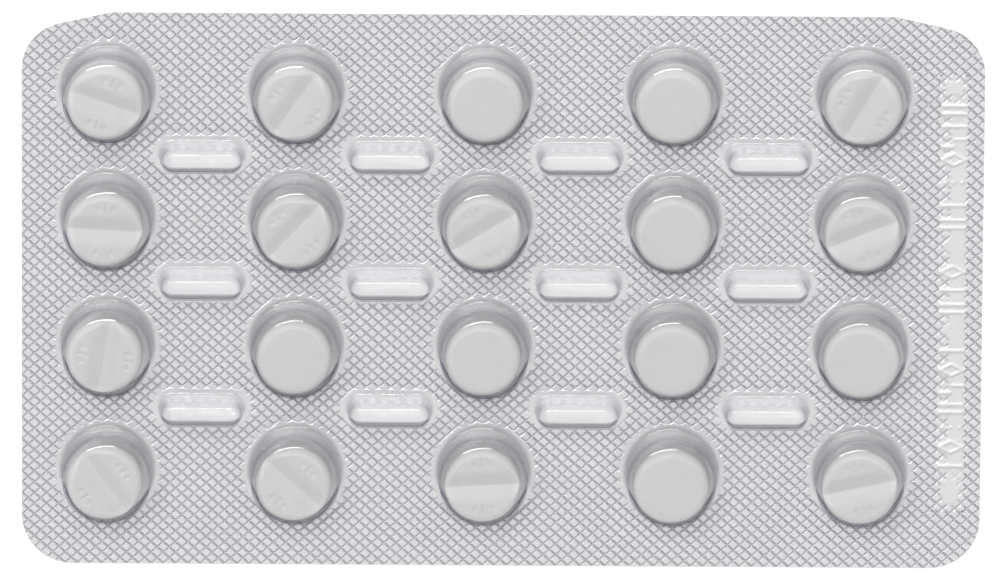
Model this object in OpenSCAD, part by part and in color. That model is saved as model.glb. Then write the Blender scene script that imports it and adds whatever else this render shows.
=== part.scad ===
// Push-through blister pack: a clear formed film with round pockets and
// stiffening ribs, a knurled lidding foil sealed to its back, and one tablet
// lying loose in each pocket. Millimetres. The pack lies foil down: z = 0 is
// the underside of the foil, the pockets rise along +Z, and x = y = 0 is the
// middle of the sheet.

/* [Sheet] */
// Length of the pack along X
pack_length = 100.5; // [92:0.5:130]
// Width of the pack along Y
pack_width = 60; // [58:0.5:90]
// Radius of the two plain corners
corner_radius = 5.4; // [2:0.1:9]
// Radius of the two corners that end in a slanted run-out
run_out_radius = 5.125; // [2:0.025:7]
// How far in from the side each run-out leaves the long edge
run_out_length = 9.4; // [8:0.1:14]
// Fall of the run-out for each millimetre along it
run_out_slope = 0.225; // [0.1:0.005:0.35]
// Height that the knurled foil takes up
foil_height = 0.12; // [0.05:0.01:0.2]
// Thickness of the formed film
film_thickness = 0.25; // [0.15:0.01:0.35]

/* [Pockets] */
// Pockets along X
columns = 5; // [2:1:5]
// Pockets along Y
rows = 4; // [2:1:4]
// Distance between pocket columns
column_pitch = 19.72; // [16:0.01:21]
// Distance between pocket rows
row_pitch = 13.78; // [12.5:0.01:15]
// How far the pockets sit to the left of the middle
array_left = 1.85; // [0:0.05:2.5]
// How far the pockets sit towards the run-out edge
array_up = 0.88; // [0:0.02:1.5]
// Room round a tablet at the mouth of its pocket
pocket_clearance = 0.6; // [0.5:0.05:0.8]
// Room above a tablet in its pocket
head_room = 0.85; // [0.6:0.05:1.6]
// Rounding round the top of a pocket, outside
pocket_shoulder = 0.7; // [0.5:0.05:1]
// Slope of a pocket's wall
pocket_draft = 2; // [1:0.5:4]
// Rounding where a pocket or a rib leaves the flange
root_radius = 0.3; // [0.1:0.05:0.5]

/* [Ribs] */
// Length of a stiffening rib
rib_length = 9; // [6:0.1:11]
// Width of a stiffening rib at its foot
rib_width = 3; // [2.6:0.1:4]
// Height of a rib above the foil
rib_height = 3.6; // [2:0.1:4.5]
// Rounding along the top of a rib, outside
rib_shoulder = 0.55; // [0.4:0.05:0.9]
// Slope of a rib's wall
rib_draft = 6; // [2:0.5:8]

/* [Tablets] */
// Radius of a tablet
tablet_radius = 4; // [3:0.05:4.8]
// Thickness of a tablet
tablet_thickness = 4.2; // [3.2:0.05:5]
// Width of the curved edge round a tablet's face
edge_width = 0.7; // [0.4:0.05:0.9]
// Height of the curved edge on each side of the belly
edge_height = 1; // [0.9:0.05:1.2]
// Half the width of the score across a tablet
score_half_width = 1.5; // [0.6:0.1:1.7]
// Depth of the score
score_depth = 0.7; // [0.2:0.05:1]
// Length of each small mark pressed into a tablet
mark_length = 0.8; // [0.4:0.05:0.9]
// Depth of the small marks
mark_depth = 0.12; // [0.05:0.01:0.3]
// Gap between a tablet and the pocket wall that it leans towards
seat_gap = 0.1; // [0.05:0.01:0.2]

/* [Hidden] */
// Score side up (1) or down (0), by row from the run-out edge and by column.
score_up = [
    [1, 1, 0, 0, 1],
    [1, 1, 1, 0, 1],
    [1, 0, 0, 0, 0],
    [1, 1, 1, 0, 1]
];
// Angle of each tablet's score to X.
score_angle = [
    [-20, 55, 10, 75, 60],
    [-3, 47, 32, 130, 22],
    [80, 15, 100, 160, 50],
    [-55, -42, 3, 35, 12]
];
// Direction in which each tablet has slid to its pocket's wall.
lean_angle = [
    [240, 248, 262, 256, 262],
    [235, 250, 255, 258, 262],
    [232, 245, 252, 262, 266],
    [238, 246, 254, 262, 264]
];

$fn = 64;
overlap = 1;
// How far the rounding at a bubble's foot bites into its wall.
root_bite = 0.01;
film_low = foil_height;
film_high = film_low + film_thickness;
pocket_top = foil_height + tablet_thickness + head_room + film_thickness;
rib_top = foil_height + rib_height;
pocket_foot = tablet_radius + pocket_clearance + film_thickness;
face_radius = tablet_radius - edge_width;
// Each lozenge is this part of a mark's length across its flats, and stands
// this many mark lengths from the bar.
lozenge_part = 0.6;
lozenge_place = 1.15;
// The bar is this part of its length wide.
bar_part = 0.25;
mark_place = (face_radius + score_half_width) / 2;

// Room that the drafted wall leaves round a tablet at the top of its belly.
belly_top = foil_height + tablet_thickness - edge_height;
room = pocket_foot - film_thickness / cos(pocket_draft)
    - (belly_top - film_high) * tan(pocket_draft) - tablet_radius;
slide = room - seat_gap;

// Radius of the arc that rounds a tablet's edge, through the rim of the face
// and upright at the belly.
edge_arc = (edge_width * edge_width + edge_height * edge_height) / (2 * edge_width);

// Distance below the long edge at which a run-out corner's arc has its centre:
// the arc touches both the short side and the slanted line.
run_out_hypotenuse = sqrt(1 + run_out_slope * run_out_slope);
run_out_drop = run_out_radius * run_out_hypotenuse
    + (run_out_length - run_out_radius) * run_out_slope;

function pocket_x(col) = (col - (columns + 1) / 2) * column_pitch - array_left;
function pocket_y(row) = ((rows + 1) / 2 - row) * row_pitch + array_up;
function tablet_name(row, col) = str("tablet_r", row, "_c", col);

// Left half of the sheet's outline. Its arcs lie over the polygon's corners.
module half_outline() {
    left = -pack_length / 2;
    top = pack_width / 2;
    low = -pack_width / 2;
    arc_x = left + run_out_radius;
    arc_y = top - run_out_drop;
    polygon([
        [0, top],
        [left + run_out_length, top],
        [arc_x - run_out_radius * run_out_slope / run_out_hypotenuse,
         arc_y + run_out_radius / run_out_hypotenuse],
        [arc_x, arc_y],
        [left, arc_y],
        [left, low + corner_radius],
        [left + corner_radius, low + corner_radius],
        [left + corner_radius, low],
        [0, low]
    ]);
    translate([arc_x, arc_y]) circle(run_out_radius);
    translate([left + corner_radius, low + corner_radius]) circle(corner_radius);
}

// The whole outline, the same on both sides.
module outline() {
    half_outline();
    mirror([1, 0]) half_outline();
}

// Half section of a bubble in the film. From a foot it rises along a drafted
// wall and a round shoulder to a flat top, and an arc eases it into the
// flange. x runs outwards from the middle and y upwards from the base plane.
module bubble_section(foot, rise, shoulder, draft, root, below) {
    flat_top = foot - shoulder / cos(draft) - (rise - shoulder) * tan(draft);
    root_run = root * tan(45 - draft / 2);
    root_foot = foot + root_run - root_bite;
    polygon([
        [0, -below],
        [root_foot, -below],
        [root_foot, 0],
        [foot, 0],
        [flat_top + shoulder * cos(draft), rise - shoulder + shoulder * sin(draft)],
        [flat_top, rise - shoulder],
        [flat_top, rise],
        [0, rise]
    ]);
    translate([flat_top, rise - shoulder]) circle(shoulder);
    difference() {
        polygon([
            [foot - root_run, 0],
            [root_foot, 0],
            [foot - root_run * sin(draft), root_run * cos(draft)],
            [foot - root_run, root_run * cos(draft)]
        ]);
        translate([root_foot, root]) circle(root);
    }
}

// Section of a pocket's outside, from inside the flange upwards.
module pocket_outside() {
    bubble_section(pocket_foot, pocket_top - film_high, pocket_shoulder,
        pocket_draft, root_radius, film_thickness / 2);
}

// Section of a pocket's hollow: the outside moved in by the film's thickness.
module pocket_hollow() {
    inset = film_thickness * (1 / cos(pocket_draft) - tan(pocket_draft));
    bubble_section(pocket_foot - inset, pocket_top - film_high,
        pocket_shoulder - film_thickness, pocket_draft,
        root_radius + film_thickness, overlap);
}

// Section of a rib's outside and of its hollow, as for a pocket.
module rib_outside() {
    bubble_section(rib_width / 2, rib_top - film_high, rib_shoulder,
        rib_draft, root_radius, film_thickness / 2);
}

module rib_hollow() {
    inset = film_thickness * (1 / cos(rib_draft) - tan(rib_draft));
    bubble_section(rib_width / 2 - inset, rib_top - film_high,
        rib_shoulder - film_thickness, rib_draft,
        root_radius + film_thickness, overlap);
}

// A long bubble: its section is swept straight between two half turns.
module long_bubble(straight) {
    for (end = [-1, 1])
        translate([end * straight / 2, 0, 0])
            rotate_extrude() children();
    translate([-straight / 2, 0, 0]) rotate([90, 0, 90])
        linear_extrude(straight) {
            children();
            mirror([1, 0]) children();
        }
}

// Puts its children at each pocket.
module at_pockets() {
    for (row = [1:rows])
        for (col = [1:columns])
            translate([pocket_x(col), pocket_y(row), 0]) children();
}

// Puts its children at each rib, in the middle of every four pockets.
module at_ribs() {
    for (row = [1:rows - 1])
        for (col = [1:columns - 1])
            translate([
                (pocket_x(col) + pocket_x(col + 1)) / 2,
                (pocket_y(row) + pocket_y(row + 1)) / 2,
                0
            ]) children();
}

// The clear formed film: one sheet with its pockets and ribs.
module blister_film() {
    straight = rib_length - rib_width;
    color([0.86, 0.88, 0.9, 0.35])
        difference() {
            union() {
                translate([0, 0, film_low]) linear_extrude(film_thickness) outline();
                at_pockets() translate([0, 0, film_high])
                    rotate_extrude() pocket_outside();
                at_ribs() translate([0, 0, film_high])
                    long_bubble(straight) rib_outside();
            }
            at_pockets() translate([0, 0, film_low])
                rotate_extrude() pocket_hollow();
            at_ribs() translate([0, 0, film_low])
                long_bubble(straight) rib_hollow();
        }
}

// The lidding foil: one sheet over the whole back.
module lidding_foil() {
    color([0.8, 0.81, 0.82]) linear_extrude(foil_height) outline();
}

// Half section of a tablet: a straight belly between two curved edges.
module tablet_section() {
    arc_x = tablet_radius - edge_arc;
    belly = tablet_thickness - 2 * edge_height;
    translate([0, edge_height]) square([tablet_radius, belly]);
    for (side = [0, 1])
        translate([0, side * tablet_thickness]) mirror([0, side])
            intersection() {
                union() {
                    translate([arc_x, edge_height]) circle(edge_arc);
                    square([max(arc_x, 0), edge_height]);
                }
                square([tablet_radius, edge_height]);
            }
}

// The score: a broad notch right across the face.
module score() {
    reach = tablet_radius + overlap;
    flare = (score_depth + overlap) / score_depth * score_half_width;
    translate([-reach, 0, tablet_thickness]) rotate([90, 0, 90])
        linear_extrude(2 * reach)
            polygon([[0, -score_depth], [flare, overlap], [-flare, overlap]]);
}

// Marks on each half of a tablet's face: a bar between two lozenges.
module marks() {
    for (half = [0, 180])
        rotate(half) translate([0, mark_place, tablet_thickness - mark_depth])
            linear_extrude(overlap) {
                square([mark_length * bar_part, mark_length], center = true);
                for (side = [-1, 1])
                    translate([side * mark_length * lozenge_place, 0]) rotate(45)
                        square(mark_length * lozenge_part, center = true);
            }
}

// One tablet: scored and marked on one face, and lying either way up.
module tablet(row, col) {
    up = score_up[row - 1][col - 1];
    lean = lean_angle[row - 1][col - 1];
    color([0.93, 0.92, 0.9])
        translate([
            pocket_x(col) + slide * cos(lean),
            pocket_y(row) + slide * sin(lean),
            foil_height + (up == 1 ? 0 : tablet_thickness)
        ])
            rotate([up == 1 ? 0 : 180, 0, score_angle[row - 1][col - 1]])
                difference() {
                    rotate_extrude() tablet_section();
                    score();
                    marks();
                }
}

blister_film();
lidding_foil();
for (row = [1:rows])
    for (col = [1:columns])
        tablet(row, col);
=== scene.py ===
import math

import bpy
import numpy as np
from mathutils import Matrix, Vector


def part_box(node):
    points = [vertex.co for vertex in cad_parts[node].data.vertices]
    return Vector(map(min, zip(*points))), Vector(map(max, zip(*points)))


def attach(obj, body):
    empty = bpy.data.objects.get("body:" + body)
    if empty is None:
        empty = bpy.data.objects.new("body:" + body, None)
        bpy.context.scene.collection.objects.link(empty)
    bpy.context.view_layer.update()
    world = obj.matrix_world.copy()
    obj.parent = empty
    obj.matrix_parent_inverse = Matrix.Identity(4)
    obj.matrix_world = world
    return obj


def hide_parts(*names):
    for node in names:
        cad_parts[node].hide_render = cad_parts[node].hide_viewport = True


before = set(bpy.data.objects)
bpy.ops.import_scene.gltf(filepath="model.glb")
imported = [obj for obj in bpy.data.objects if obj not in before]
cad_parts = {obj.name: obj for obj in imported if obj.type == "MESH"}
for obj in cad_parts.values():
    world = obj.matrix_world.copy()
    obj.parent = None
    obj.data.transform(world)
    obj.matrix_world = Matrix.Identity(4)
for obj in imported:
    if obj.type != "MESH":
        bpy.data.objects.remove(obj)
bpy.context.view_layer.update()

# ---------------------------------------------------------------- sizes, mm
MM = 0.001
film_low_corner, film_high_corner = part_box("blister_film")
PACK_LENGTH = (film_high_corner.x - film_low_corner.x) / MM
PACK_WIDTH = (film_high_corner.y - film_low_corner.y) / MM
BUBBLE_TOP = film_high_corner.z / MM
CORNER_RADIUS = 5.4
RUN_OUT_RADIUS = 5.125
RUN_OUT_LENGTH = 9.4
RUN_OUT_SLOPE = 0.225

COLUMNS, ROWS = 5, 4
COLUMN_PITCH, ROW_PITCH = 19.72, 13.78
ARRAY_LEFT, ARRAY_UP = 1.85, 0.88

FILM_TOP = 0.37          # top of the film's flange
FILM_BOND = 0.215        # underside of the film's flange
FILM_WALL = 0.16         # wall of a pocket or rib
FOIL_TOP = 0.2           # top of the foil's knurl
FOIL_IN_POCKET = 0.115   # top of the foil under a tablet
BAND_RADIUS = 5.33       # plain band round a pocket
POCKET_FOOT = 4.74
RIB_STRAIGHT = 6.0
RIB_HALF = 1.5
RIB_TOP = 3.72
RIB_BAND = 2.05

SEAM = 0.04              # gap between a plain band's rim and the first ring inside it
POCKET_GAUGE = 5.0       # radius that the way round a pocket is counted on
POCKET_DRAFT, RIB_DRAFT = 2, 6
ROOT = 0.3               # rounding at a bubble's foot
POCKET_CROWN, RIB_CROWN = 0.05, 0.02
# run and drop of the rounding round a bubble's top, outside and inside
POCKET_SHOULDER, POCKET_SHOULDER_INSIDE = (0.8, 0.7), (0.65, 0.55)
RIB_SHOULDER, RIB_SHOULDER_INSIDE = (0.44, 0.42), (0.32, 0.3)
MOUTH = 0.2              # how much wider a bubble is where the film's underside opens

KNURL_X, KNURL_Y = 1.287, 1.175     # diagonals of one knurl diamond
GROOVE_SHARE = 0.17                 # half a groove's width, as a share of the pitch
GROOVED = [0, GROOVE_SHARE, 1 - GROOVE_SHARE]
FILM_RELIEF, FOIL_RELIEF, BACK_RELIEF = 0.03, 0.09, 0.045
BACK_SINK = 0.03          # how far the foil's back is sunk under a tablet
BACK_LIFT = 0.35          # lift given to the grooves of the foil's back, which sets how much of the painted groove shade they take
KNURL_FADE = 0.4          # how far from a plain band the grooves reach full depth
SNAP = 0.03               # a lattice point this near an edge is moved onto it

STRIP_X, STRIP_WIDTH, STRIP_LENGTH = 47.1, 3.0, 47.6
STRIP_SEAM = 0.03
MARK_RISE, BACK_MARK_RISE = 0.05, 0.06
PLAIN = 2.0               # lift of foil that no knurl has touched
PLAIN_RISE = 0.5          # what a plain place of the strip adds to its lift

TABLET_RADIUS, TABLET_THICKNESS = 4.0, 4.2
EDGE_WIDTH, EDGE_HEIGHT = 0.7, 1.0
SCORE_HALF_WIDTH, SCORE_DEPTH = 1.5, 0.7
SCORE_SOFTNESS = 0.004    # squared distance that rounds the bottom of the score
SCORE_CREASE = 0.2        # blend where the score meets the face
MARK_DEPTH = 0.14
SCORE_ANGLE = [[-20, 55, 10, 75, 60], [-3, 47, 32, 130, 22],
               [80, 15, 100, 160, 50], [-55, -42, 3, 35, 12]]
SCORE_UP = [[1, 1, 0, 0, 1], [1, 1, 1, 0, 1], [1, 0, 0, 0, 0], [1, 1, 1, 0, 1]]


def pocket_middle(row, column):
    """Where a pocket stands: rows count from the run-out edge, columns from -X."""
    return np.array([(column - (COLUMNS + 1) / 2) * COLUMN_PITCH - ARRAY_LEFT,
                     ((ROWS + 1) / 2 - row) * ROW_PITCH + ARRAY_UP])


POCKETS = [pocket_middle(r, c) for r in range(1, ROWS + 1) for c in range(1, COLUMNS + 1)]
RIBS = [(pocket_middle(r, c) + pocket_middle(r + 1, c + 1)) / 2
        for r in range(1, ROWS) for c in range(1, COLUMNS)]
# where each edge stands in the list that fields() gives
SHEET_EDGE = 0
STRIP_EDGE = 1 + len(POCKETS) + len(RIBS)
POCKET_EDGES = slice(1, 1 + len(POCKETS))
RIB_EDGES = slice(1 + len(POCKETS), STRIP_EDGE)
BUBBLE_EDGES = slice(1, STRIP_EDGE)


# ------------------------------------------------------- outlines as fields
def sheet_outline():
    """Corner points of the sheet's edge, counter-clockwise. Each rounded corner is an
    arc: centre plus radius times (cosine, sine) of a turn that steps evenly."""
    half_length, half_width = PACK_LENGTH / 2, PACK_WIDTH / 2
    lean = math.atan(RUN_OUT_SLOPE)
    drop = (RUN_OUT_RADIUS * math.hypot(1, RUN_OUT_SLOPE)
            + (RUN_OUT_LENGTH - RUN_OUT_RADIUS) * RUN_OUT_SLOPE)

    def arc(x, y, radius, start, end, steps=24):
        turn = np.linspace(start, end, steps)
        return np.c_[x + radius * np.cos(turn), y + radius * np.sin(turn)]

    right = np.vstack([
        arc(half_length - CORNER_RADIUS, -half_width + CORNER_RADIUS, CORNER_RADIUS,
            -math.pi / 2, 0),
        arc(half_length - RUN_OUT_RADIUS, half_width - drop, RUN_OUT_RADIUS,
            0, math.pi / 2 - lean),
        [[half_length - RUN_OUT_LENGTH, half_width]],
    ])
    return np.vstack([right, right[::-1] * [-1, 1]])


OUTLINE = sheet_outline()


def inside_sheet(p):
    """How far inside the sheet's edge each point lies. The outline bulges everywhere,
    so it is the least of the distances to its straight pieces' lines."""
    start = OUTLINE
    step = np.roll(OUTLINE, -1, 0) - start
    step /= np.linalg.norm(step, axis=1)[:, None]
    inward = np.c_[-step[:, 1], step[:, 0]]
    return (p @ inward.T - (start * inward).sum(1)).min(1)


def outside_bubble(p, middle, straight, radius):
    """How far outside a round or long bubble's edge each point lies: the distance to
    the bubble's middle line, less its radius."""
    d = p - middle
    d = np.c_[d[:, 0] - np.clip(d[:, 0], -straight / 2, straight / 2), d[:, 1]]
    return np.hypot(d[:, 0], d[:, 1]) - radius


def outside_strip(p):
    """How far outside the strip each point lies, along X or Y, whichever is more."""
    return np.maximum(np.abs(p[:, 0] - STRIP_X) - STRIP_WIDTH / 2,
                      np.abs(p[:, 1]) - STRIP_LENGTH / 2)


def fields(pocket_radius, rib_radius, strip=True):
    """Every edge that bounds the knurled flange, as fields that are positive on it."""
    made = [inside_sheet]
    made += [lambda p, m=m: outside_bubble(p, m, 0, pocket_radius) for m in POCKETS]
    made += [lambda p, m=m: outside_bubble(p, m, RIB_STRAIGHT, rib_radius) for m in RIBS]
    return made + ([outside_strip] if strip else [])


# ------------------------------------------------------------ knurled sheet
def fade_out(xy, lift, edges):
    """Lift of the knurl with its grooves rising to the plain band beside every pocket
    and rib: at least one less the distance to the nearest band over KNURL_FADE."""
    near = np.min([e(xy) for e in edges[BUBBLE_EDGES]], axis=0)
    return np.maximum(lift, np.clip(1 - near / KNURL_FADE, 0, 1))


def lattice(lines):
    """A sheet of diamonds. With u = x / KNURL_X + y / KNURL_Y and v the same with a
    minus, grooves run where u or v is whole. lines gives the places of the grid lines
    within one pitch, and lift is 0 in a groove and 1 on a pad."""
    reach = int(math.ceil(PACK_LENGTH / 2 / KNURL_X + PACK_WIDTH / 2 / KNURL_Y)) + 1
    places = (np.arange(-reach, reach)[:, None] + np.array(lines)).ravel()
    high = np.tile(np.array([0.0 if abs(a) < 1e-9 else 1.0 for a in lines]), 2 * reach)
    u, v = np.meshgrid(places, places, indexing="ij")
    xy = np.c_[(KNURL_X * (u + v) / 2).ravel(), (KNURL_Y * (u - v) / 2).ravel()]
    lift = np.minimum.outer(high, high).ravel()
    n = len(places)
    i = (np.arange(n - 1)[:, None] * n + np.arange(n - 1)).ravel()
    # u x v points down, so the quads run the other way round to face up
    quads = np.c_[i, i + 1, i + n + 1, i + n]
    margin = 2 * max(KNURL_X, KNURL_Y)
    near = ((np.abs(xy[:, 0]) < PACK_LENGTH / 2 + margin)
            & (np.abs(xy[:, 1]) < PACK_WIDTH / 2 + margin))
    quads = quads[near[quads].all(1)]
    faces = np.vstack([quads[:, [0, 1, 2]], quads[:, [0, 2, 3]]])
    used, faces = np.unique(faces, return_inverse=True)
    return xy[used], lift[used], faces.reshape(-1, 3)


def settle(p, field):
    """Moves points onto a field's zero line: each goes back along the field's slope by
    the field's value, twice."""
    probe, least_slope = 1e-4, 0.25
    for _ in range(2):
        value = field(p)
        slope = np.c_[(field(p + [probe, 0]) - value) / probe,
                      (field(p + [0, probe]) - value) / probe]
        size = np.maximum((slope ** 2).sum(1), least_slope)
        p = p - slope * (value / size)[:, None]
    return p


def trim(xy, lift, faces, edges):
    """Keeps what lies where every field in edges is positive. A triangle that a zero
    line crosses is cut where the line meets its sides. Returns the points, their lift,
    the triangles, and for each edge field the points that lie on it."""
    def field(p):
        return np.min([e(p) for e in edges], axis=0)

    value = field(xy)
    near = np.abs(value) < SNAP
    xy = xy.copy()
    xy[near] = settle(xy[near], field)
    value[near] = 0
    kept = value >= 0
    count = kept[faces].sum(1)
    whole = faces[(count == 3) & (value[faces].max(1) > 0)]
    cut = faces[(count == 1) | (count == 2)]
    tally = kept[cut].sum(1)
    odd = np.where(tally == 1, kept[cut].argmax(1), kept[cut].argmin(1))
    cut = np.take_along_axis(cut, (odd[:, None] + np.arange(3)) % 3, 1)
    pairs = np.sort(np.vstack([cut[:, [0, 1]], cut[:, [0, 2]]]), 1)
    pairs, back = np.unique(pairs, axis=0, return_inverse=True)
    back = back.ravel()
    low, high = pairs.T
    share = value[low] / (value[low] - value[high])
    fresh = xy[low] + share[:, None] * (xy[high] - xy[low])
    fresh = settle(fresh, field)
    fresh_lift = lift[low] + share * (lift[high] - lift[low])
    held = np.where(kept[low], low, high)
    number = np.where(value[held] == 0, held, len(xy) + np.arange(len(pairs)))[back]
    first, second = number[:len(cut)], number[len(cut):]
    one, two = tally == 1, tally == 2
    faces = np.vstack([
        whole,
        np.c_[cut[one, 0], first[one], second[one]],
        np.c_[first[two], cut[two, 1], cut[two, 2]],
        np.c_[first[two], cut[two, 2], second[two]],
    ])
    faces = faces[(faces[:, 0] != faces[:, 1]) & (faces[:, 1] != faces[:, 2])
                  & (faces[:, 2] != faces[:, 0])]
    xy, lift = np.vstack([xy, fresh]), np.concatenate([lift, fresh_lift])
    used, faces = np.unique(faces, return_inverse=True)
    xy, lift, faces = xy[used], lift[used], faces.reshape(-1, 3)
    sides = np.sort(np.vstack([faces[:, [0, 1]], faces[:, [1, 2]], faces[:, [2, 0]]]), 1)
    sides, times = np.unique(sides, axis=0, return_counts=True)
    rim = np.unique(sides[times == 1])
    owner = np.argmin([np.abs(e(xy[rim])) for e in edges], axis=0)
    return xy, lift, faces, [rim[owner == k] for k in range(len(edges))]


# ----------------------------------------------------------- closed bubbles
def ring_frame(straight, radius, count):
    """count points evenly round a long or round bubble, from its +X end. Each is a
    point on the middle line, the way out from it, and how far round it is, 0 to 1."""
    turn = np.arange(count) / count
    cap, half = radius * math.pi / 2, straight / 2
    total = 2 * (2 * cap + straight)
    way = np.minimum(turn, 1 - turn) * total
    angle = np.where(way < cap, way / radius,
                     np.where(way < cap + straight, math.pi / 2,
                              math.pi / 2 + (way - cap - straight) / radius))
    x = np.where(way < cap, half,
                 np.where(way < cap + straight, half - (way - cap), -half))
    side = np.where(turn > 0.5, -1.0, 1.0)
    return np.c_[x, 0 * x], np.c_[np.cos(angle), side * np.sin(angle)], turn


def way_round(p, straight, radius):
    """How far round a bubble each point lies, 0 to 1: the length of the bubble's edge
    from its +X end to there, over the whole length."""
    x, y = p.T
    cap, half = radius * math.pi / 2, straight / 2
    total = 2 * (2 * cap + straight)
    angle = np.abs(np.arctan2(y, x - np.clip(x, -half, half)))
    way = np.where(x > half, radius * angle,
                   np.where(x < -half, cap + straight + radius * (angle - math.pi / 2),
                            cap + half - x))
    return (np.where(y >= 0, way, total - way) / total) % 1.0


def lace(outer, outer_turn, inner, inner_turn):
    """Triangles between two closed rows of points. Both rows are put in order of how
    far round they lie and merged, and each step on one row makes a triangle with the
    point reached on the other."""
    order = np.argsort(outer_turn)
    a, at = outer[order], outer_turn[order]
    order = np.argsort(inner_turn)
    b, bt = inner[order], inner_turn[order]
    turns = np.concatenate([at[1:], at[:1] + 1, bt[1:], bt[:1] + 1])
    step = np.r_[np.ones(len(a), int), np.zeros(len(b), int)]
    step = step[np.argsort(turns, kind="stable")]
    i, j = np.cumsum(step), np.cumsum(1 - step)
    a, b = np.append(a, a[0]), np.append(b, b[0])
    return np.where((step == 1)[:, None],
                    np.c_[a[i - 1], a[i], b[j]], np.c_[a[i], b[j], b[j - 1]])


class Shell:
    """Points and triangles of one piece, gathered part by part."""

    def __init__(self):
        self.points, self.lift, self.faces, self.size = [], [], [], 0
        self.finish, self.soft = [], []

    def add(self, points, lift=1.0):
        """Adds points and returns their numbers."""
        points = np.asarray(points, float).reshape(-1, 3)
        self.points.append(points)
        self.lift.append(np.broadcast_to(np.asarray(lift, float), len(points)))
        self.size += len(points)
        return np.arange(self.size - len(points), self.size)

    def face(self, faces, up=True, finish=0, soft=True):
        """Adds triangles, turned over where they face down or inwards, and shaded softly
        unless they are flat facets. finish counts through the piece's materials."""
        faces = np.asarray(faces).reshape(-1, 3)
        faces = faces if up else faces[:, ::-1]
        self.faces.append(faces)
        self.finish.append(np.full(len(faces), finish))
        self.soft.append(np.full(len(faces), soft))

    def rings(self, rows, up=True):
        """Joins rings of equal length, outer to inner, with two triangles a step."""
        for a, b in zip(rows[:-1], rows[1:]):
            c, d = np.roll(a, -1), np.roll(b, -1)
            self.face(np.vstack([np.c_[a, c, d], np.c_[a, d, b]]), up)

    def bubble(self, middle, straight, radius, rim, profile, count, up=True, lift=1.0):
        """Carries a profile, rows of (distance from the middle line, height), round a
        bubble, and laces its first row to the rim. It closes at the middle: a round
        one on a point, and a long one straight across from side to side."""
        spine, out, turn = ring_frame(straight, radius, count)
        rows = [self.add(np.c_[middle + spine + out * d, np.full(count, z)], lift)
                for d, z in profile if d > 0]
        every = np.vstack(self.points)
        self.face(lace(rim, way_round(every[rim, :2] - middle, straight, radius),
                       rows[0], turn), up)
        self.rings(rows, up)
        last = rows[-1]
        if straight == 0:
            tip = self.add([[*middle, profile[-1][1]]], lift)
            self.face(np.c_[last, np.roll(last, -1), np.full(count, tip[0])], up)
        else:
            k = np.arange(count // 2)
            a, b = last[k], last[k + 1]
            c, d = last[(count - k - 1) % count], last[(count - k) % count]
            flat = np.vstack([np.c_[a, b, c], np.c_[a, c, d]])
            self.face(flat[(flat[:, 0] != flat[:, 1]) & (flat[:, 1] != flat[:, 2])
                           & (flat[:, 0] != flat[:, 2])], up)

    def bubbles(self, rims, pocket, rib, pocket_steps, rib_steps, up=True, lift=1.0):
        """Carries one profile round every pocket and another round every rib, each
        laced to its own rim."""
        for middle, rim in zip(POCKETS, rims[POCKET_EDGES]):
            self.bubble(middle, 0, POCKET_GAUGE, rim, pocket, pocket_steps, up, lift)
        for middle, rim in zip(RIBS, rims[RIB_EDGES]):
            self.bubble(middle, RIB_STRAIGHT, RIB_HALF, rim, rib, rib_steps, up, lift)

    def cut_edge(self, low_rim, top_rim):
        """Closes the sheet at its edge, from the underside's rim to the top's."""
        every = np.vstack(self.points)
        self.face(lace(low_rim, sheet_turn(every[low_rim]),
                       top_rim, sheet_turn(every[top_rim])))

    def piece(self, name, finishes):
        """Makes the mesh object, in metres, and drops points that nothing uses."""
        points, lift = np.vstack(self.points), np.concatenate(self.lift)
        faces, finish = np.vstack(self.faces), np.concatenate(self.finish)
        used, faces = np.unique(faces, return_inverse=True)
        points, lift, faces = points[used] * MM, lift[used], faces.reshape(-1, 3)
        mesh = bpy.data.meshes.new(name)
        mesh.from_pydata(points.tolist(), [], faces.tolist())
        mesh.polygons.foreach_set("use_smooth", np.concatenate(self.soft))
        for material in finishes:
            mesh.materials.append(material)
        mesh.polygons.foreach_set("material_index", finish.astype(np.int32))
        mesh.attributes.new("lift", "FLOAT", "POINT").data.foreach_set(
            "value", lift.astype(np.float32))
        mesh.update()
        made = bpy.data.objects.new(name, mesh)
        bpy.context.scene.collection.objects.link(made)
        return made


def bubble_profile(foot, top, wall, base, draft, shoulder, crown):
    """Half section of a bubble's surface, from the flange inwards: an arc eases from
    the flange into a wall that leans in by the draft, a quarter ellipse, the shoulder's
    run by its drop, carries the wall's head over to the flat, and the crown is left
    free above it. wall moves the whole section inwards for the inner surface."""
    lean = math.tan(math.radians(draft))
    foot, top = foot - wall, top - wall
    shoulder_run, shoulder_drop = shoulder
    turn = np.radians(np.linspace(0, 90 - draft, 4))
    run = ROOT * math.tan(math.radians(45 - draft / 2))
    rows = [(foot + run - ROOT * math.sin(a), base + ROOT * (1 - math.cos(a)))
            for a in turn]
    head = top - crown - shoulder_drop
    reach = foot - (head - base) * lean
    rows.append(((rows[-1][0] + reach) / 2, (rows[-1][1] + head) / 2))
    for a in np.radians(np.linspace(0, 90, 8)):
        rows.append((reach - shoulder_run * (1 - math.cos(a)),
                     head + shoulder_drop * math.sin(a)))
    return rows


def crowned(rows, crown, steps):
    """Closes a round bubble's profile: the height rises by the crown times one less the
    square of the distance's share."""
    edge, height = rows[-1]
    share = np.linspace(1, 0, steps + 1)[1:]
    return rows + [(edge * s, height + crown * (1 - s * s)) for s in share]


# ------------------------------------------------------- pressed-in figures
def near_stroke(p, start, end):
    """Distance of each point to a straight stroke: the share of the way along it is
    held between 0 and 1, and the rest is the straight distance to that place."""
    start, end = np.array(start, float), np.array(end, float)
    d = end - start
    share = np.clip(((p - start) @ d) / max((d ** 2).sum(), 1e-9), 0, 1)
    return np.hypot(*(p - start - share[:, None] * d).T)


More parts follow.
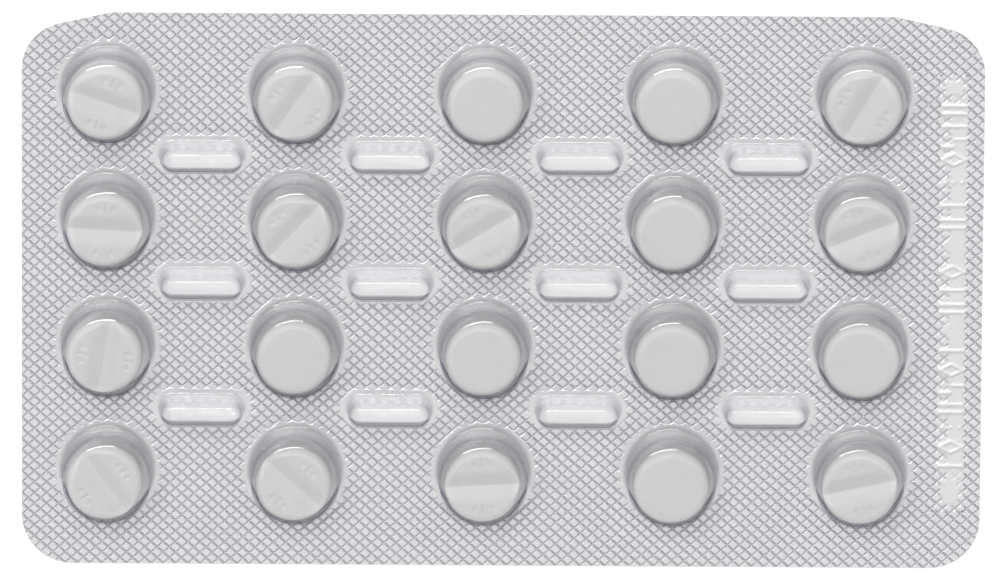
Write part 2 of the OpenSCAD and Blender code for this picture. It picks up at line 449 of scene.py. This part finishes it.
def figure(kind, p):
    """Distance to the line of a plain figure 2.4 across X and up to 1.2 along Y: a bar,
    a pair of bars, two half bars in a step, a lozenge or three dots."""
    half, apart, step = 1.2, 0.42, 0.4
    if kind == "bar":
        return near_stroke(p, (-half, 0), (half, 0))
    if kind == "pair":
        return np.minimum(near_stroke(p, (-half, -apart), (half, -apart)),
                          near_stroke(p, (-half, apart), (half, apart)))
    if kind == "step":
        return np.minimum(near_stroke(p, (-half, -step), (-0.1, -step)),
                          near_stroke(p, (0.1, step), (half, step)))
    if kind == "lozenge":
        return np.abs(np.abs(p[:, 0]) / half + np.abs(p[:, 1]) / 0.62 - 1) * 0.55
    return np.min([np.hypot(p[:, 0] - x, p[:, 1]) for x in (-0.9, 0, 0.9)], 0)


# each figure's place along Y, and its kind
STRIP_FIGURES = [
    (20.0, "pair"), (18.2, "bar"), (16.4, "step"), (14.6, "lozenge"),
    (12.1, "dots"), (9.6, "bar"), (7.6, "pair"),
    (2.4, "lozenge"), (0.4, "bar"), (-1.6, "pair"),
    (-6.2, "bar"), (-8.3, "lozenge"), (-10.4, "step"), (-12.5, "pair"),
    (-14.6, "dots"), (-16.7, "lozenge"), (-18.8, "bar"),
]
# plain places between the figures: place along Y, and half length
STRIP_BARE = [(-21.6, 1.7), (5.2, 0.9), (-3.9, 0.9), (22.4, 0.9)]
BARE_HALF_WIDTH = 1.1
# the plain channel, whose middle is counted from the strip's
CHANNEL_MIDDLE, CHANNEL_HALF, CHANNEL_LENGTH = 0.5, 0.9, 46.0
# from a figure's line: where its slope ends and its plain surround ends, and how wide
# each slope is
STROKE_REACH, STROKE_SLOPE = 0.23, 0.15
SURROUND_REACH, SURROUND_SLOPE = 0.5, 0.2
BARE_SLOPE = 0.25


def strip_relief(p):
    """Height of the strip's figures at each point, full on a figure's line and down to
    nought over a short slope beside it, and how plain the foil is: wholly so on and
    close to a figure, at the strip's few bare places and down the channel that the
    knurl's roll leaves free, and not elsewhere."""
    beyond, figure_reach = 9.0, 1.6
    far = np.full(len(p), beyond)
    for y, kind in STRIP_FIGURES:
        close = np.abs(p[:, 1] - y) < figure_reach
        far[close] = np.minimum(far[close], figure(kind, p[close] - [0, y]))
    bare = np.min([np.hypot(p[:, 0] / BARE_HALF_WIDTH, (p[:, 1] - y) / half)
                   for y, half in STRIP_BARE], 0)
    channel = np.maximum(np.abs(p[:, 0] - CHANNEL_MIDDLE) / CHANNEL_HALF,
                         np.abs(p[:, 1]) / (CHANNEL_LENGTH / 2))
    bare = np.minimum(bare, channel)
    share = np.clip((STROKE_REACH - far) / STROKE_SLOPE, 0, 1)
    clear = np.clip(np.maximum((SURROUND_REACH - far) / SURROUND_SLOPE,
                               (1 - bare) / BARE_SLOPE), 0, 1)
    return share * share * (3 - 2 * share), clear


def knurl_lift(p):
    """Lift of the knurl at any point: the lesser distance of u and v to a whole number,
    over half a groove's width."""
    u, v = p[:, 0] / KNURL_X + p[:, 1] / KNURL_Y, p[:, 0] / KNURL_X - p[:, 1] / KNURL_Y
    off = np.minimum(np.abs(u - np.round(u)), np.abs(v - np.round(v)))
    return np.clip(off / GROOVE_SHARE, 0, 1)


def add_strip(shell, rim, across, along, base, rise, relief=0.0, up=True):
    """A fine grid with the strip's figures raised on it and the knurl between them,
    laced to the rim round it."""
    half_x, half_y = STRIP_WIDTH / 2 - STRIP_SEAM, STRIP_LENGTH / 2 - STRIP_SEAM
    x, y = np.linspace(-half_x, half_x, across), np.linspace(-half_y, half_y, along)
    gy, gx = np.meshgrid(y, x, indexing="ij")
    p = np.c_[gx.ravel(), gy.ravel()]
    height, clear = strip_relief(p)
    lift = knurl_lift(p + [STRIP_X, 0]) if relief else np.ones(len(p))
    lift = lift + (1 - lift) * clear
    ids = shell.add(np.c_[p + [STRIP_X, 0], base + rise * height - relief * (1 - lift)],
                    lift + PLAIN_RISE * clear).reshape(along, across)
    a, b, c, d = ids[:-1, :-1], ids[:-1, 1:], ids[1:, 1:], ids[1:, :-1]
    shell.face(np.vstack([np.c_[a.ravel(), b.ravel(), c.ravel()],
                          np.c_[a.ravel(), c.ravel(), d.ravel()]]), up)
    edge = np.concatenate([ids[0, :-1], ids[:-1, -1], ids[-1, :0:-1], ids[:0:-1, 0]])
    every = np.vstack(shell.points)

    def turn(q):
        """How far round the strip, by the length of its edge."""
        x, y = np.clip(q[:, 0], -half_x, half_x), np.clip(q[:, 1], -half_y, half_y)
        w, h = 2 * half_x, 2 * half_y
        outward = np.c_[-half_y - q[:, 1], q[:, 0] - half_x,
                        q[:, 1] - half_y, -half_x - q[:, 0]]
        side = outward.argmax(1)
        way = np.choose(side, [x + half_x, w + y + half_y, w + h + half_x - x,
                               2 * w + h + half_y - y])
        return way / (2 * (w + h)) % 1.0

    shell.face(lace(rim, turn(every[rim, :2] - [STRIP_X, 0]),
                    edge, turn(every[edge, :2] - [STRIP_X, 0])), up)


def sheet_turn(p):
    """How far round the sheet a point lies, as its direction from the middle."""
    return (np.arctan2(p[:, 1], p[:, 0]) / (2 * math.pi)) % 1.0


# ---------------------------------------------------------------- materials
def material(name):
    """A new node material and an adder of nodes that places them in a row. A socket is
    named as it reads, with _ for a space, or _ and its number, and takes a value or
    another node's socket."""
    made = bpy.data.materials.new(name)
    made.use_nodes = True
    tree = made.node_tree
    tree.nodes.clear()
    place = [0]

    def node(kind, **sockets):
        n = tree.nodes.new(kind)
        place[0] += 220
        n.location = (place[0], 0)
        for key, value in sockets.items():
            socket = int(key[1:]) if key[0] == "_" else key.replace("_", " ")
            target = n.inputs[socket]
            if isinstance(value, bpy.types.NodeSocket):
                tree.links.new(value, target)
            else:
                target.default_value = value
        return n

    return made, node


def noise(node, scale, detail, roughness):
    """Noise over the object, 0 to 1. scale counts its waves in a metre."""
    place = node("ShaderNodeTexCoord")
    return node("ShaderNodeTexNoise", Vector=place.outputs["Object"], Scale=scale,
                Detail=detail, Roughness=roughness).outputs["Fac"]


def lift_of_point(node):
    """The lift that the mesh holds at each point."""
    lift = node("ShaderNodeAttribute")
    lift.attribute_name = "lift"
    return lift.outputs["Fac"]


def between(node, share, low, high):
    """A colour that goes from low to high with the share, each of them a plain colour
    or another node's socket."""
    mix = node("ShaderNodeMix", _0=share)
    mix.data_type = "RGBA"
    for socket, end in ((mix.inputs[6], low), (mix.inputs[7], high)):
        if isinstance(end, bpy.types.NodeSocket):
            mix.id_data.links.new(end, socket)
        else:
            socket.default_value = (*end, 1)
    return mix.outputs[2]


# painted shade of one film surface by how edge on it is seen, 0 square to it and 1 along
# it: greyer and bluer edge on, in place of the dark surroundings that the walls mirror
FILM_SQUARE, FILM_ALONG_PAINTED_SHADE = (0.99, 0.99, 0.992), (0.36, 0.36, 0.44)
FILM_PAINTED_SHADE_STEPS = [(0.34, (0.975, 0.975, 0.982)), (0.49, (0.925, 0.925, 0.94)),
              (0.56, (0.78, 0.785, 0.82)), (0.80, (0.76, 0.76, 0.795))]
FILM_GLOSS = 0.08           # most of the light that the film's gloss takes
FOIL_PADS = (0.79, 0.788, 0.79), (0.93, 0.925, 0.92)
# painted shade in the knurl's grooves
FOIL_GROOVE_PAINTED_SHADE = (0.655, 0.655, 0.668)
FOIL_PLAIN = (0.90, 0.895, 0.885)
POWDER = (0.66, 0.648, 0.635), (0.73, 0.72, 0.708)
POWDER_EDGE = (0.745, 0.737, 0.725)


def clear_film_finish():
    """Clear stiff film: see-through, with painted shade that makes it greyer and bluer
    where the wall is seen edge on, and a sharp gloss that grows at a slant."""
    made, node = material("clear_film")
    ripple = noise(node, 900.0, 2.0, 0.5)
    bump = node("ShaderNodeBump", Height=ripple, Strength=0.006, Distance=0.0002)
    slant = node("ShaderNodeLayerWeight", Blend=0.35)
    # painted shade: the see-through colour darkens and blues as the surface turns edge on
    painted_shade_ramp = node("ShaderNodeValToRGB", Fac=slant.outputs["Facing"])
    ramp = painted_shade_ramp.color_ramp
    ramp.elements[0].position, ramp.elements[0].color = 0.0, (*FILM_SQUARE, 1)
    ramp.elements[1].position, ramp.elements[1].color = 1.0, (*FILM_ALONG_PAINTED_SHADE, 1)
    for slanted, colour in FILM_PAINTED_SHADE_STEPS:
        ramp.elements.new(slanted).color = (*colour, 1)
    through = node("ShaderNodeBsdfTransparent", Color=painted_shade_ramp.outputs["Color"])
    gloss = node("ShaderNodeBsdfGlossy", Color=(1, 1, 1, 1), Roughness=0.08,
                 Normal=bump.outputs["Normal"])
    share = node("ShaderNodeFresnel", IOR=1.56, Normal=bump.outputs["Normal"])
    most = node("ShaderNodeMath", _0=share.outputs["Fac"], _1=FILM_GLOSS)
    most.operation = "MINIMUM"
    mix = node("ShaderNodeMixShader", _0=most.outputs["Value"],
               _1=through.outputs["BSDF"], _2=gloss.outputs["BSDF"])
    node("ShaderNodeOutputMaterial", Surface=mix.outputs["Shader"])
    return made


def bonded_face_finish():
    """The film's sealed underside: welded to the foil, so it has no gloss of its own."""
    made, node = material("bonded_face")
    through = node("ShaderNodeBsdfTransparent", Color=(0.985, 0.985, 0.99, 1))
    node("ShaderNodeOutputMaterial", Surface=through.outputs["BSDF"])
    return made


def foil_finish():
    """Bright hard foil: the knurl's grooves are painted darker than its pads, as painted
    shade in the recesses, the pads are patchy from the seal, plain foil is the brightest,
    and fine crinkles roll over all of it. Lift goes from 0 in a groove to 1 on a pad and
    to 2 on plain foil."""
    made, node = material("foil")
    lift = lift_of_point(node)
    clouds = noise(node, 420.0, 3.0, 0.6)
    patches = noise(node, 160.0, 3.0, 0.75)
    pad = between(node, patches, *FOIL_PADS)
    rise = node("ShaderNodeMapRange", Value=lift, From_Min=0.25, From_Max=0.85)
    rise.interpolation_type = "SMOOTHSTEP"
    # painted shade: a groove takes a darker colour than a pad
    knurled = between(node, rise.outputs["Result"], FOIL_GROOVE_PAINTED_SHADE, pad)
    bare = node("ShaderNodeMapRange", Value=lift, From_Min=1.0, From_Max=PLAIN)
    colour = between(node, bare.outputs["Result"], knurled, FOIL_PLAIN)
    rough = node("ShaderNodeMapRange", Value=clouds, To_Min=0.42, To_Max=0.56)
    bump = node("ShaderNodeBump", Height=clouds, Strength=0.12, Distance=0.0003)
    skin = node("ShaderNodeBsdfPrincipled", Base_Color=colour, Metallic=1.0,
                Roughness=rough.outputs["Result"], Normal=bump.outputs["Normal"])
    node("ShaderNodeOutputMaterial", Surface=skin.outputs["BSDF"])
    return made


def tablet_finish():
    """Pressed powder: warm off-white, matt with a faint sheen, finely grained, with a
    touch of light carried under the surface. Its curved edge, where lift is 0, is a
    little paler than its mottled faces, where lift is 1."""
    made, node = material("tablet")
    grain = noise(node, 9000.0, 2.0, 0.6)
    mottle = noise(node, 700.0, 3.0, 0.55)
    pressed = between(node, mottle, *POWDER)
    colour = between(node, lift_of_point(node), POWDER_EDGE, pressed)
    bump = node("ShaderNodeBump", Height=grain, Strength=0.1, Distance=0.0001)
    skin = node("ShaderNodeBsdfPrincipled", Base_Color=colour, Roughness=0.5,
                Normal=bump.outputs["Normal"], Subsurface_Weight=0.15,
                Subsurface_Radius=(0.0006, 0.0005, 0.0004), Subsurface_Scale=1.0)
    node("ShaderNodeOutputMaterial", Surface=skin.outputs["BSDF"])
    return made


CLEAR_FILM = clear_film_finish()
BONDED_FACE = bonded_face_finish()
FOIL = foil_finish()
TABLET = tablet_finish()


# --------------------------------------------------------------------- film
def build_film():
    """The formed film as one closed shell: the knurled top of the flange, the outer
    faces of its pockets and ribs, the cut edge, the flat underside and the inner
    faces."""
    shell = Shell()
    edges = fields(BAND_RADIUS, RIB_BAND)
    xy, lift, faces, rims = trim(*lattice(GROOVED), edges)
    lift = fade_out(xy, lift, edges)
    top = shell.add(np.c_[xy, FILM_TOP - FILM_RELIEF * (1 - lift)], lift)
    shell.face(top[faces], soft=False)
    top_rims = [top[r] for r in rims]
    pocket = bubble_profile(POCKET_FOOT, BUBBLE_TOP, 0, FILM_TOP, POCKET_DRAFT,
                            POCKET_SHOULDER, POCKET_CROWN)
    pocket = crowned(pocket, POCKET_CROWN, steps=3)
    rib = bubble_profile(RIB_HALF, RIB_TOP, 0, FILM_TOP, RIB_DRAFT, RIB_SHOULDER,
                         RIB_CROWN)
    shell.bubbles(top_rims, [(BAND_RADIUS - SEAM, FILM_TOP)] + pocket,
                  [(RIB_BAND - SEAM, FILM_TOP)] + rib, pocket_steps=56, rib_steps=52)
    add_strip(shell, top_rims[STRIP_EDGE], 14, 170, FILM_TOP, MARK_RISE)

    edges = fields(POCKET_FOOT + MOUTH, RIB_HALF + MOUTH, strip=False)
    xy, lift, faces, rims = trim(*lattice([0.5]), edges)
    low = shell.add(np.c_[xy, np.full(len(xy), FILM_BOND)])
    shell.face(low[faces], up=False, finish=1)
    low_rims = [low[r] for r in rims]
    pocket = bubble_profile(POCKET_FOOT, BUBBLE_TOP, FILM_WALL, FILM_BOND, POCKET_DRAFT,
                            POCKET_SHOULDER_INSIDE, POCKET_CROWN)[::2]
    pocket = crowned(pocket, POCKET_CROWN, steps=2)
    rib = bubble_profile(RIB_HALF, RIB_TOP, FILM_WALL, FILM_BOND, RIB_DRAFT,
                         RIB_SHOULDER_INSIDE, RIB_CROWN)[::2]
    shell.bubbles(low_rims, pocket, rib, pocket_steps=44, rib_steps=36, up=False)
    shell.cut_edge(low_rims[SHEET_EDGE], top_rims[SHEET_EDGE])
    return shell.piece("film", [CLEAR_FILM, BONDED_FACE])


# --------------------------------------------------------------------- foil
def build_foil():
    """The lidding foil as one closed sheet: knurled where it is sealed, plain and
    slightly sunk under the pockets, plain under the ribs, with the figures of the
    strip pressed up into it, and a softer print of the knurl on its back."""
    shell = Shell()
    edges = fields(BAND_RADIUS, RIB_BAND)
    xy, lift, faces, rims = trim(*lattice(GROOVED), edges)
    lift = fade_out(xy, lift, edges)
    top = shell.add(np.c_[xy, FOIL_TOP - FOIL_RELIEF * (1 - lift)], lift)
    shell.face(top[faces], soft=False)
    top_rims = [top[r] for r in rims]
    pocket = [(BAND_RADIUS - SEAM, FOIL_TOP), (4.8, FOIL_TOP), (4.55, FOIL_IN_POCKET),
              (3.0, FOIL_IN_POCKET), (0, FOIL_IN_POCKET)]
    rib = [(RIB_BAND - SEAM, FOIL_TOP), (1.2, FOIL_TOP)]
    shell.bubbles(top_rims, pocket, rib, pocket_steps=48, rib_steps=40, lift=PLAIN)
    add_strip(shell, top_rims[STRIP_EDGE], 30, 380, FOIL_TOP, MARK_RISE, FOIL_RELIEF)

    xy, lift, faces, rims = trim(*lattice([0, 0.5]), edges)
    lift = fade_out(xy, lift, edges)
    # painted shade: the back's grooves get a low lift, so they are coloured darker like
    # the top's
    low = shell.add(np.c_[xy, BACK_RELIEF * (1 - lift)],
                    BACK_LIFT + (1 - BACK_LIFT) * lift)
    shell.face(low[faces], up=False)
    low_rims = [low[r] for r in rims]
    pocket = [(BAND_RADIUS - SEAM, 0), (4.7, 0), (4.3, BACK_SINK), (0, BACK_SINK)]
    rib = [(RIB_BAND - SEAM, 0), (1.2, 0)]
    shell.bubbles(low_rims, pocket, rib, pocket_steps=48, rib_steps=40, up=False,
                  lift=PLAIN)
    add_strip(shell, low_rims[STRIP_EDGE], 12, 150, 0, BACK_MARK_RISE, up=False)
    shell.cut_edge(low_rims[SHEET_EDGE], top_rims[SHEET_EDGE])
    return shell.piece("foil", [FOIL])


# ------------------------------------------------------------------ tablets
def soft_least(a, b, blend):
    """The lesser of two heights, with the crease between them rounded over blend."""
    share = np.clip(0.5 + 0.5 * (b - a) / blend, 0, 1)
    return b + (a - b) * share - blend * share * (1 - share)


def face_figures(p):
    """Depth, 0 to 1, of the figures pressed into a tablet's face: on each half a bar
    between two lozenge pits, each deepest in its middle."""
    place = (TABLET_RADIUS - EDGE_WIDTH + SCORE_HALF_WIDTH) / 2
    bar_half, bar_reach = 0.36, 0.22
    pit_place, pit_x, pit_y, pit_depth = 0.8, 0.4, 0.5, 1.15
    depth = np.zeros(len(p))
    for half in (1, -1):
        q = p * half - [0, place]
        bar = near_stroke(q, (0, -bar_half), (0, bar_half))
        depth = np.maximum(depth, 1 - bar / bar_reach)
        for side in (-1, 1):
            d = np.abs(q - [side * pit_place, 0])
            depth = np.maximum(depth, pit_depth - d[:, 0] / pit_x - d[:, 1] / pit_y)
    return np.clip(depth, 0, 1)


def tablet_form(around=176):
    """A tablet about its own middle, scored side up: rings of points from the middle of
    the face, over the curved edge, down the belly and back under. The face's height is
    the lesser of the plain tablet's and the two slopes of the score, less the depth of
    the figures. With it come its triangles, and 1 for a point on a face or 0 for one on
    the edge."""
    arc = (EDGE_WIDTH ** 2 + EDGE_HEIGHT ** 2) / (2 * EDGE_WIDTH)
    rim, lip = TABLET_RADIUS - EDGE_WIDTH, 0.03
    face = np.append(np.linspace(0, rim - lip, 24)[1:], rim)
    start = math.asin((rim - (TABLET_RADIUS - arc)) / arc)
    edge = np.append(start + lip, np.linspace(start, math.pi / 2, 8)[1:])
    edge_r = TABLET_RADIUS - arc + arc * np.sin(edge)
    edge_z = TABLET_THICKNESS / 2 - EDGE_HEIGHT + arc * np.cos(edge)
    radius = np.concatenate([face, edge_r, edge_r[::-1], face[::-4]])
    height = np.concatenate([np.full(len(face), TABLET_THICKNESS / 2), edge_z,
                             -edge_z[::-1],
                             np.full(len(face[::-4]), -TABLET_THICKNESS / 2)])
    turn = np.arange(around) * 2 * math.pi / around
    x = radius[:, None] * np.cos(turn)
    y = radius[:, None] * np.sin(turn)
    z = np.repeat(height[:, None], around, 1)
    top = len(face) + len(edge)

    def notch(y):
        """Height of the score's two slopes, rounded where they meet."""
        return (TABLET_THICKNESS / 2 - SCORE_DEPTH
                + SCORE_DEPTH * np.sqrt(y * y + SCORE_SOFTNESS) / SCORE_HALF_WIDTH)

    upper = z[:top]
    lowered = soft_least(upper, notch(y[:top]), SCORE_CREASE)
    lowered = np.where(np.arange(top)[:, None] < top - 1, lowered, upper)
    inner = np.arange(top)[:, None] < len(face)
    depth = face_figures(np.c_[x[:top].ravel(), y[:top].ravel()]).reshape(top, around)
    z[:top] = lowered - np.where(inner, MARK_DEPTH * depth, 0)
    points = np.stack([x, y, z], -1).reshape(-1, 3)
    middle_z = soft_least(TABLET_THICKNESS / 2, notch(0.0), SCORE_CREASE)
    points = np.vstack([points, [0, 0, float(middle_z)], [0, 0, -TABLET_THICKNESS / 2]])
    n = len(radius)
    on_face = np.where(radius < rim + 0.001, 1.0, 0.0)
    pressed = np.append(np.repeat(on_face, around), [1, 1])
    ids = np.arange(n * around).reshape(n, around)
    a, b = ids[:-1], ids[1:]
    c, d = np.roll(b, -1, 1), np.roll(a, -1, 1)
    faces = np.vstack([np.c_[a.ravel(), b.ravel(), c.ravel()],
                       np.c_[a.ravel(), c.ravel(), d.ravel()],
                       np.c_[np.full(around, n * around), ids[0], np.roll(ids[0], -1)],
                       np.c_[np.full(around, n * around + 1), np.roll(ids[-1], -1),
                             ids[-1]]])
    return points, faces, pressed


TABLET_POINTS, TABLET_FACES, TABLET_PRESSED = tablet_form()


def build_tablet(row, column):
    """One tablet at its CAD node's middle, turned to its score's angle and, where it
    lies plain side up, turned over about X first."""
    low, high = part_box(f"tablet_r{row}_c{column}")
    middle = np.array((low + high) / 2) / MM
    up = SCORE_UP[row - 1][column - 1]
    angle = math.radians(SCORE_ANGLE[row - 1][column - 1])
    points = TABLET_POINTS * ([1, 1, 1] if up else [1, -1, -1])
    turn = np.array([[math.cos(angle), -math.sin(angle), 0],
                     [math.sin(angle), math.cos(angle), 0], [0, 0, 1]])
    shell = Shell()
    shell.face(shell.add(points @ turn.T + middle, TABLET_PRESSED)[TABLET_FACES])
    return shell.piece(f"pill_r{row}_c{column}", [TABLET])


film = build_film()
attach(film, "root"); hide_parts("blister_film")
foil = build_foil()
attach(foil, "root"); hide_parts("lidding_foil")
for row in range(1, ROWS + 1):
    for column in range(1, COLUMNS + 1):
        pill = build_tablet(row, column)
        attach(pill, "root")
        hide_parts(f"tablet_r{row}_c{column}")


# -------------------------------------------------------------------- stage
def build_floor():
    """A plain white floor that glows a little, so that it stays white."""
    made, node = material("floor")
    glow = node("ShaderNodeEmission", Color=(1, 1, 1, 1), Strength=1.1)
    node("ShaderNodeOutputMaterial", Surface=glow.outputs["Emission"])
    mesh = bpy.data.meshes.new("floor")
    half, low = 3, -0.0004
    mesh.from_pydata([(-half, -half, low), (half, -half, low), (half, half, low),
                      (-half, half, low)], [], [(0, 1, 2, 3)])
    mesh.materials.append(made)
    floor = bpy.data.objects.new("floor", mesh)
    bpy.context.scene.collection.objects.link(floor)


def soft_light(name, place, size, radiance):
    """A flat white lamp aimed at the pack. Its power is its radiance times its area
    times pi."""
    lamp = bpy.data.lights.new(name, "AREA")
    lamp.shape = "RECTANGLE"
    lamp.size, lamp.size_y = size
    lamp.energy = radiance * math.pi * size[0] * size[1]
    made = bpy.data.objects.new(name, lamp)
    made.location = place
    made.rotation_euler = Vector(place).to_track_quat("Z", "Y").to_euler()
    bpy.context.scene.collection.objects.link(made)


def build_world():
    """Even, fairly dim surroundings: the foil's slopes mirror them."""
    world = bpy.data.worlds.new("studio")
    world.use_nodes = True
    sky = world.node_tree.nodes["Background"]
    sky.inputs["Color"].default_value = (0.985, 0.985, 1.0, 1)
    sky.inputs["Strength"].default_value = 0.4
    bpy.context.scene.world = world


def build_camera():
    """A far camera with a long lens, leaning a little towards the run-out edge."""
    tilt, roll = math.radians(16.3), math.radians(0.35)
    away, frame_width = 2200.0, 104.6
    back = Vector((0, math.sin(tilt), math.cos(tilt)))
    up = Vector((0, math.cos(tilt), -math.sin(tilt)))
    right = Vector((1, 0, 0))
    turned_right = right * math.cos(roll) + up * math.sin(roll)
    turned_up = up * math.cos(roll) - right * math.sin(roll)
    aim_right, aim_up, aim_height = -0.22, -0.2, 0.3
    aim = right * aim_right + up * aim_up + Vector((0, 0, aim_height))
    place = (aim + back * away) * MM
    data = bpy.data.cameras.new("camera")
    data.sensor_width = 36
    data.lens = 36 * away / frame_width
    data.clip_start, data.clip_end = 0.1, 20
    camera = bpy.data.objects.new("camera", data)
    camera.matrix_world = Matrix((
        (turned_right.x, turned_up.x, back.x, place.x),
        (turned_right.y, turned_up.y, back.y, place.y),
        (turned_right.z, turned_up.z, back.z, place.z),
        (0, 0, 0, 1)))
    bpy.context.scene.collection.objects.link(camera)
    bpy.context.scene.camera = camera


build_floor()
build_world()
soft_light("overhead_panel", (0, -0.5, 3.0), (3.6, 3.6), 0.58)
soft_light("key", (-0.42, 1.6, 2.5), (2.0, 0.6), 12.5)
build_camera()
bpy.context.scene.view_settings.view_transform = "Standard"
